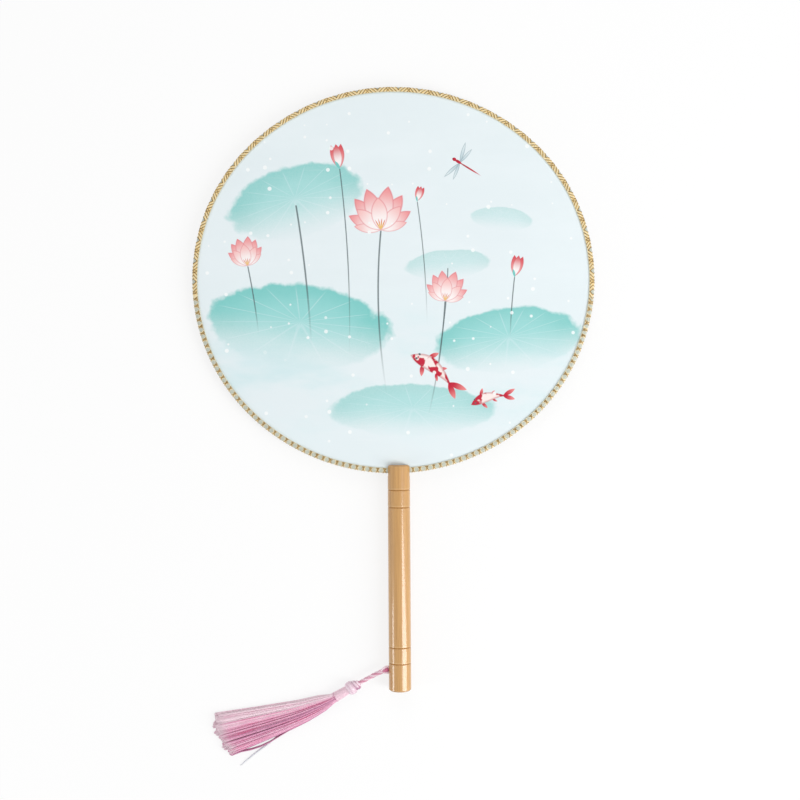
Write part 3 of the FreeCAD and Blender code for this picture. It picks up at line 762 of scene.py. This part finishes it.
def roundNeck(turn):  # outward from the neck's axis
    return np.cos(turn)[..., None] * neckSide + np.sin(turn)[..., None] * np.array([0, 0, 1.0])


# Knot: wide wraps of floss over each other on a darker core, and a collar where the cord comes in. The core's
# dark colour is painted shade where it shows in the folds between the wraps
ball = {"middle": (-28.602, -197.417, 4.6), "angle": 30, "steps": 96, "sides": 48, "floss": (16, 0.012),
        "core": (4.6, 3.7), "coreSides": 32, "corePaintedShade": 0.05, "uneven": (0.12, 0.08, 0.18),
        # place along the neck, ring's radius, half width, half thickness, tilt, shade, and painted shade on
        # its lower side
        "wraps": [(1.2, 2.8, 2.8, 1.75, -6, 0.8, 0), (-2.5, 2.0, 1.6, 1.65, -24, 0.72, 0.9),
                  (-4.2, 1.35, 1.0, 1.1, -14, 0.98, 0)]}
knot = np.array(ball["middle"])
neckWay, neckSide = wayAt(ball["angle"])
step = fullTurn(ball["steps"])
circle = roundNeck(step)
around = np.arange(ball["sides"]) * 2 * math.pi / ball["sides"]
waver, swell, streaks = ball["uneven"]
lots, shades = [], []
for place, radius, wide, thick, tilt, shade, paintedShadeBelow in ball["wraps"]:
    reach = place + math.tan(math.radians(tilt)) * radius * np.cos(step) + waver * np.sin(3 * step)
    line = knot + circle * (radius + swell * np.sin(2 * step + place))[:, None] + neckWay * reach[:, None]
    lots.append(tubes([line], 1.0, ball["sides"], up=circle[None], closed=True,
                      profile=oval(wide, thick, *ball["floss"])))
    # painted shade: the wrap darkens towards its lower side, for the shadowed fold
    dark = paintedShadeBelow * np.clip(np.cos(step - 0.3), 0, 1)[:, None] ** 3
    shades.append(np.ravel(shade - dark + streaks * np.sin(5 * around + 2 * np.sin(step)[:, None])))
share = np.linspace(-0.98, 0.98, 18)
coreLong, coreWide = ball["core"]
lots.append(tubes([knot + share[:, None] * coreLong * neckWay], coreWide * np.sqrt(1 - share ** 2),
                  ball["coreSides"]))
shades.append(np.full(len(lots[-1][0]), ball["corePaintedShade"]))
headPiece = piece("tasselKnot", *merged(lots), knotFloss, "tassel", ["tassel_head"], "pink_cord",
                  shade=np.concatenate(shades))

# Neck band: fine thread wound round the gathered floss, with a rolled edge at the skirt
band = {"start": 3.7, "end": 13.3, "radius": (2.8, 3.2), "yarn": 0.2, "turns": 30, "perTurn": 24, "sides": 6,
        "uneven": 0.03, "shade": 0.85, "roll": 0.3, "rollPoints": 48, "rollSides": 8,
        # each roll of the edge: how far before the band's end, its radius, its shade
        "rolls": [(0, 3.1, 0.0), (0.5, 3.15, 0.6)]}
share = np.linspace(0, 1, band["turns"] * band["perTurn"])
angle = share * band["turns"] * 2 * math.pi
radius = band["radius"][0] + (band["radius"][1] - band["radius"][0]) * share ** 1.2
radius = radius + band["uneven"] * np.sin(angle * 0.37)
outward = roundNeck(angle)
reach = band["start"] + (band["end"] - band["start"]) * share
line = knot + neckWay * reach[:, None] + outward * radius[:, None]
wound = tubes([line], band["yarn"], band["sides"], up=outward[None])
turn = fullTurn(band["rollPoints"])
outward = roundNeck(turn)
rolls = [knot + neckWay * (band["end"] - before) + outward * size for before, size, shade in band["rolls"]]
rolled = tubes(rolls, band["roll"], band["rollSides"], up=np.stack([outward, outward]), closed=True)
rollShades = spread([shade for before, size, shade in band["rolls"]], band["rollPoints"], band["rollSides"])
piece("neckBand", *merged([wound, rolled]), bandFloss, "tassel", ["neck_band"], "pink_band",
      shade=np.concatenate([np.full(len(wound[0]), band["shade"]), rollShades]))

# Skirt: threads in locks that fan out from the band
skirt = {"root": (-39.557, -203.7425, 4.6), "angle": 18, "length": 81, "rootHalf": 3.3, "tipHalf": 15.5,
         "bow": 1.8, "shift": 0.9, "shiftBy": 0.3, "straightBy": 0.5,
         "thick": (5.6, 0.8),  # height of the skirt at its root, and how much less it is at the tip
         "under": (0.1, 1.7, 0.4),  # its underside: lowest, how much higher at the root, and where that ends
         "gather": 2.7, "opens": 0.09,  # radius inside the band, and over what share of the length it opens
         "spread": 0.8,  # how the width grows along the length
         "thread": 0.22, "clumps": 8, "each": 20, "points": 13, "sides": 5,
         # length of each lock, then how pale it is, as painted light at the skirt's +Y edge and painted shade
         # at its -Y edge, and its share of bright threads
         "lower": [1.0, 1.027, 1.03, 1.006, 1.006, 0.978], "upper": [0.99, 1.005, 1.0, 0.985, 0.965],
         "paintedLightLevel": [1.0, 0.58, 0.46, 0.42, 0.38, 0.12], "hotShare": [0.08, 0.3, 0.5, 0.6, 0.45, 0.12],
         "layers": [(0, "lower", 1.0), (1, "upper", 0.9)]}  # level, name, share of the width
skirtWay, skirtSide = wayAt(skirt["angle"])
skirtRoot = np.array(skirt["root"])


def skirtHalf(share):  # half the skirt's width
    return skirt["rootHalf"] + (skirt["tipHalf"] - skirt["rootHalf"]) * share ** skirt["spread"]


def skirtPlace(share, side, up, reach):  # side from -1 to 1, up from 0 at the table to 1
    share, side, up, reach = np.broadcast_arrays(share, side, up, reach)
    before, after = np.minimum(share, 0), np.maximum(share, 0)
    lowest, rise, riseEnd = skirt["under"]
    ground = lowest + rise * np.clip(1 - after / riseEnd, 0, None) ** 2
    bend = np.clip(1 - after / skirt["straightBy"], 0, None)  # the root still points along the neck
    turn = np.radians(skirt["angle"] + (ball["angle"] - skirt["angle"]) * bend)
    sideWay = np.stack([np.sin(turn), -np.cos(turn), np.zeros_like(turn)], -1)
    bow = skirt["bow"] * np.sin(math.pi * np.clip(after, 0, 1) ** 0.7)
    bow = bow + skirt["shift"] * np.clip(after / skirt["shiftBy"], 0, 1)
    middle = skirtRoot + skirtWay * (skirt["length"] * (after + after ** 2 * (reach - 1)))[..., None] \
        + skirtSide * bow[..., None] + neckWay * (skirt["length"] * before)[..., None]
    level, (rootThick, thinner) = skirtRoot[2], skirt["thick"]
    wide, high = (skirtHalf(after) - 0.3) * side, ground + (rootThick - thinner * after) * up - level
    gather = np.minimum(1, skirt["gather"] / np.maximum(np.hypot(wide, high), 0.01))
    ease = np.clip(after / skirt["opens"], 0, 1)
    keep = gather + (1 - gather) * ease * ease * (3 - 2 * ease)
    at = middle + sideWay * (wide * keep)[..., None]
    at[..., 2] = np.maximum(level + high * keep, skirt["thread"] + 0.03)
    return at


def skirtFlossOf(name, dark, body, pale, hotPink):
    material, start, feed = surface(name, {"Sheen Weight": 0.25, "Sheen Roughness": 0.3,
                                           "Specular IOR Level": 0.55})
    shade, hot = start.attribute("shade"), start.attribute("hot")
    streak = start.noise(start.place((160, 160, 160)), 1.0, 3)
    tone = shade.add("ValToRGB", {"stops": [(0.05, dark), (0.45, body), (0.95, pale)]},
                     {0: shade + (streak - 0.5) * 0.35})
    tone = hot.blend(tone, hotPink)
    feed(Base_Color=tone, Roughness=streak.smooth(0.25, 0.75, 0.3, 0.46))
    return material


skirtFloss = skirtFlossOf("skirtFloss", srgb(204, 140, 174), srgb(238, 174, 204), srgb(247, 221, 231),
                          srgb(232, 98, 150))
far = np.linspace(-0.05, 1, skirt["points"])
going = np.clip(far, 0, 1)

# Threads of a lock: how far clumps and single threads wander, and how their length and colour vary
strands = {"clumpSide": 0.06, "clumpUp": 0.8, "side": 0.13, "up": 0.3, "sideLimit": 1.08,
           # sideways: at the tip, in bends along the length, and the slowest and fastest of those
           "clumpDrift": (0.012, 0.008, 3, 7), "drift": (0.006, 0.004, 4, 12),
           # the lock whose outer strands split off: from where across, how far, and its start and span
           "split": ("lower_lock_6", 0.72, 0.17, 0.5, 0.42),
           "longest": 1.01, "clumpShort": 0.006, "sideShort": 0.014, "short": 0.009,
           "clumpPale": 0.13, "pale": 0.17, "paintedLightOnTop": 0.12, "tipPale": (0.9, 0.5),
           "hotPlace": (0.05, 0.9), "hotSpan": (0.08, 0.3), "hot": (0.4, 0.95)}


def wander(key):
    return chance.normal(0, strands[key])


def drift(sway, bends, slowest, fastest):
    return chance.normal(0, sway) * going ** 2 \
        + bends * np.sin(far * chance.uniform(slowest, fastest) + chance.uniform(0, 6))


def lockOf(name, node, index, count, layer, narrow, reach, paintedLightLevel, hotShare):
    sides, ups, reaches, shades, hots = [], [], [], [], []
    tipFrom, tipPale = strands["tipPale"]
    tip = tipPale * np.clip((far - tipFrom) / (1 - tipFrom), 0, 1)
    splitNode, splitFrom, splitFar, splitStart, splitLong = strands["split"]
    splitBend = splitFar * np.sin(math.pi * np.clip((far - splitStart) / splitLong, 0, 1))
    for clump in range(skirt["clumps"]):
        clumpSide = (clump + 0.5) / skirt["clumps"] * 2 - 1 + wander("clumpSide")
        room = math.sqrt(max(0.05, 1 - clumpSide ** 2))
        clumpUp = chance.uniform(-strands["clumpUp"], strands["clumpUp"]) * room
        sway, bends, *speeds = strands["clumpDrift"]
        clumpDrift = drift(sway, bends * going, *speeds)
        clumpPale = paintedLightLevel + wander("clumpPale")
        clumpShort = wander("clumpShort")
        for number in range(skirt["each"]):
            at = np.clip(clumpSide + wander("side"), -strands["sideLimit"], strands["sideLimit"])
            up = clumpUp + wander("up")
            side = ((2 * index + 1 + at) / count - 1) * narrow + clumpDrift + drift(*strands["drift"])
            if node == splitNode and at > splitFrom:
                side = side + splitBend
            sides.append(side)
            ups.append((layer + 0.5 + 0.5 * np.clip(up, -1, 1)) / 2)
            shorter = strands["sideShort"] * at ** 2 + strands["short"] * chance.random()
            reaches.append(reach * (strands["longest"] + clumpShort - shorter))
            # painted light: threads higher in the skirt are paler
            pale = clumpPale + strands["paintedLightOnTop"] * up + wander("pale")
            shades.append(np.clip(pale + tip, 0, 1))
            begin, span = chance.uniform(*strands["hotPlace"]), chance.uniform(*strands["hotSpan"])
            glow = np.exp(-((far - begin) / span) ** 2 * 3) * (chance.random() < hotShare)
            hots.append(glow * chance.uniform(*strands["hot"]))
    lines = skirtPlace(far[None], np.array(sides), np.array(ups)[:, None], np.array(reaches)[:, None])
    points, faces = tubes(lines, skirt["thread"], skirt["sides"])
    return piece(name, points, faces, skirtFloss, "tassel", [node], "pink_thread",
                 shade=np.repeat(shades, skirt["sides"], axis=1),
                 hot=np.repeat(hots, skirt["sides"], axis=1))


for layer, label, narrow in skirt["layers"]:
    for index, reach in enumerate(skirt[label]):
        lockOf(f"{label}Lock{index + 1}", f"{label}_lock_{index + 1}", index, len(skirt[label]),
               layer, narrow, reach, skirt["paintedLightLevel"][index], skirt["hotShare"][index])
print("skirt of", len(skirt["lower"] + skirt["upper"]) * skirt["clumps"] * skirt["each"], "threads")

# Gathered floss inside the band
bundle = {"threads": 60, "radius": 2.1, "start": 3.2, "long": 9.1, "widens": (0.85, 0.25), "shade": 0.4}
share = np.linspace(0, 1, 6)
wide = bundle["widens"][0] + bundle["widens"][1] * share
gathered = []
for number in range(bundle["threads"]):
    turn, off = chance.random() * 2 * math.pi, bundle["radius"] * math.sqrt(chance.random())
    reach = bundle["start"] + bundle["long"] * share
    gathered.append(knot + neckWay * reach[:, None] + roundNeck(turn) * (off * wide)[:, None])
points, faces = tubes(gathered, skirt["thread"], skirt["sides"])
piece("gatheredFloss", points, faces, skirtFloss, "tassel", ["thread_bundle"], "pink_thread",
      shade=np.full(len(points), bundle["shade"]), hot=np.zeros(len(points)))

# Loose thread that strays from the skirt
stray = {"start": 45, "long": 30.4, "out": 11.0, "radius": 0.56, "clear": 0.65, "wave": 0.25,
         "points": 26, "sides": 10, "flute": (3, 0.1, 0.5)}
strayFloss = skirtFlossOf("strayFloss", srgb(176, 178, 190), srgb(206, 208, 216), srgb(226, 226, 232),
                          srgb(226, 190, 208))
share = stray["start"] / skirt["length"]
edgeThere = skirt["bow"] * math.sin(math.pi * share ** 0.7) + stray["clear"] + skirtHalf(share)
strayRoot = skirtRoot + skirtWay * stray["start"] + skirtSide * edgeThere
strayRoot[2] = stray["radius"] + 0.02
step = np.linspace(-0.12, 1, stray["points"])
sideways = stray["out"] * step + stray["wave"] * np.sin(step * 7)
line = strayRoot + skirtWay * (stray["long"] * step)[:, None] + skirtSide * sideways[:, None]
yarns, depth, twist = stray["flute"]
points, faces = tubes([line], stray["radius"] * np.clip(1.1 - 0.6 * step ** 4, 0.5, 1), stray["sides"],
                      profile=flutes(yarns, depth, stray["points"], twist))
piece("looseThread", points, faces, strayFloss, "tassel", ["loose_thread"], "pink_thread",
      shade=np.full(len(points), 0.5), hot=np.repeat(np.clip(0.5 - step, 0, 0.5), stray["sides"]))
print("tassel tied")
